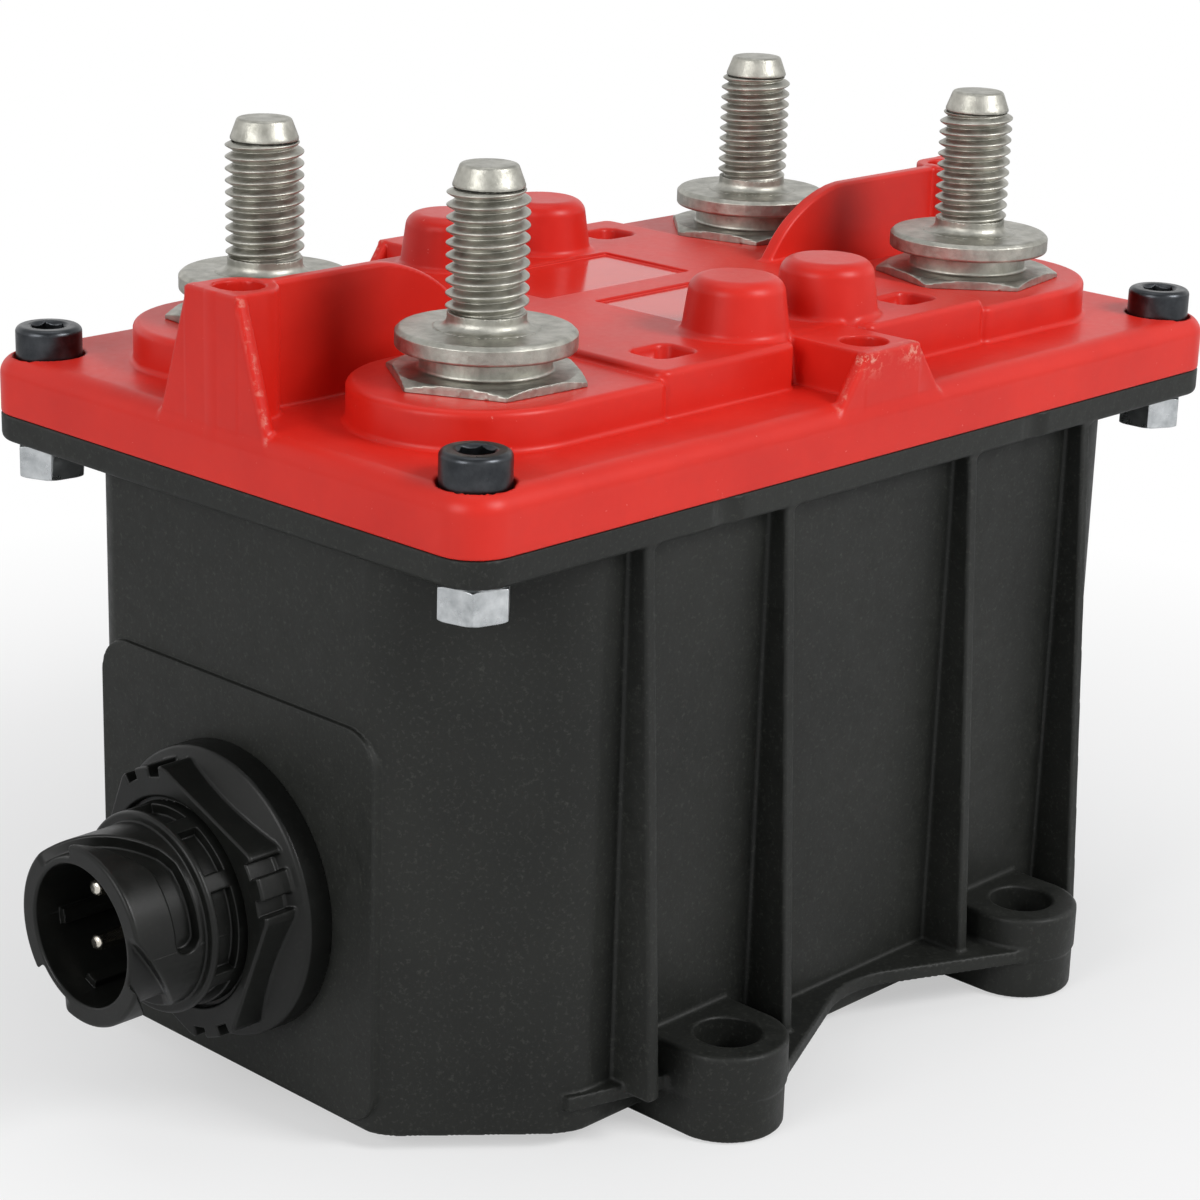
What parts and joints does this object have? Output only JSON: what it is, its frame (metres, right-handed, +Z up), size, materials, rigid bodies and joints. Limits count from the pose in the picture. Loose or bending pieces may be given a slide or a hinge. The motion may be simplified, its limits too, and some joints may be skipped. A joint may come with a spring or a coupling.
{
  "type": "battery disconnect switch",
  "caption": "Two pole solenoid battery disconnect switch: black housing with mounting feet, red lid with threaded studs, barriers and posts, round bayonet control connector on one end.",
  "frame": {"origin": "centre of the four foot holes, in the plane of the feet", "axes": "+X along the long side, away from the connector; +Y across, towards the rear pole; +Z up, along the studs"},
  "size_m": [0.1655, 0.1124, 0.118],
  "materials": {
    "red_plastic": "semi gloss moulded red",
    "black_plastic": "glass filled, matte with fine grain",
    "connector_plastic": "moulded black, satin",
    "stud_metal": "tin plated, satin",
    "black_steel": "black oxide",
    "zinc_steel": "bright zinc plated",
    "bare_steel": "machined",
    "spring_steel": "drawn wire",
    "copper_bar": "bare copper",
    "contact_silver": "silver alloy",
    "black_rubber": "moulded rubber",
    "amber_plastic": "natural nylon",
    "winding": "enamelled copper wire, wound solid",
    "magnet_black": "sintered ferrite",
    "board_green": "glass fibre board with solder mask",
    "component_black": "moulded components",
    "wire_red": "insulated wire",
    "wire_black": "insulated wire"
  },
  "bodies": {
    "switch_frame": {"housing": "black_plastic", "lid": "red_plastic", "lid_gasket": "black_rubber", "lid_screws": "black_steel", "lid_nuts": "zinc_steel", "lid_nut_washers": "zinc_steel", "stud_front_left": "stud_metal", "stud_front_right": "stud_metal", "stud_rear_left": "stud_metal", "stud_rear_right": "stud_metal", "stud_seals": "black_rubber", "stud_lock_nuts": "zinc_steel", "stud_lock_washers": "zinc_steel", "fixed_contact_front_left": "copper_bar", "fixed_contact_front_right": "copper_bar", "fixed_contact_rear_left": "copper_bar", "fixed_contact_rear_right": "copper_bar", "fixed_contact_tips": "contact_silver", "return_spring": "spring_steel", "plunger_bumper": "black_rubber", "pole_core": "bare_steel", "latching_magnet": "magnet_black", "coil_bobbin": "amber_plastic", "coil_winding": "winding", "solenoid_yoke": "bare_steel", "yoke_top_plate": "bare_steel", "yoke_screws": "zinc_steel", "yoke_floor_screws": "zinc_steel", "guide_pins": "bare_steel", "aux_switch_body": "black_plastic", "aux_switch_pin": "bare_steel", "aux_switch_screws": "zinc_steel", "circuit_board": "board_green", "board_components": "component_black", "board_screws": "zinc_steel", "coil_leads": "wire_red", "aux_leads": "wire_black", "connector_shell": "connector_plastic", "connector_nut": "connector_plastic", "connector_seal": "black_rubber", "connector_pins": "stud_metal"},
    "armature": {"contact_carrier": "amber_plastic", "push_rod": "bare_steel", "rod_clip": "black_steel", "plunger": "bare_steel", "contact_bridge_front": "copper_bar", "contact_bridge_rear": "copper_bar", "bridge_contact_tips": "contact_silver", "contact_spring_front": "spring_steel", "contact_spring_rear": "spring_steel"},
    "aux_lever": {"aux_switch_lever": "zinc_steel"},
    "aux_button": {"aux_switch_button": "red_plastic"}
  },
  "joints": [
    {"name": "armature_slide", "type": "slide", "parent": "switch_frame", "child": "armature", "axis": [0, 0, 1], "range_m": [0, 0.0039], "stiffness_N_per_m": 2000, "springref_m": -0.004, "deforming": ["return_spring"]},
    {"name": "aux_lever_hinge", "type": "hinge", "parent": "switch_frame", "child": "aux_lever", "pos_m": [0.02845, -0.0078, 0.0579], "axis": [1, 0, 0], "range_deg": [0, 11.5]},
    {"name": "aux_button_slide", "type": "slide", "parent": "switch_frame", "child": "aux_button", "axis": [0, 0, 1], "range_m": [0, 0.001]}
  ],
  "couplings": [
    {"joint": "aux_lever_hinge", "follows": "armature_slide", "rad_per_m": 50},
    {"joint": "aux_button_slide", "follows": "armature_slide", "ratio": 0.23}
  ]
}
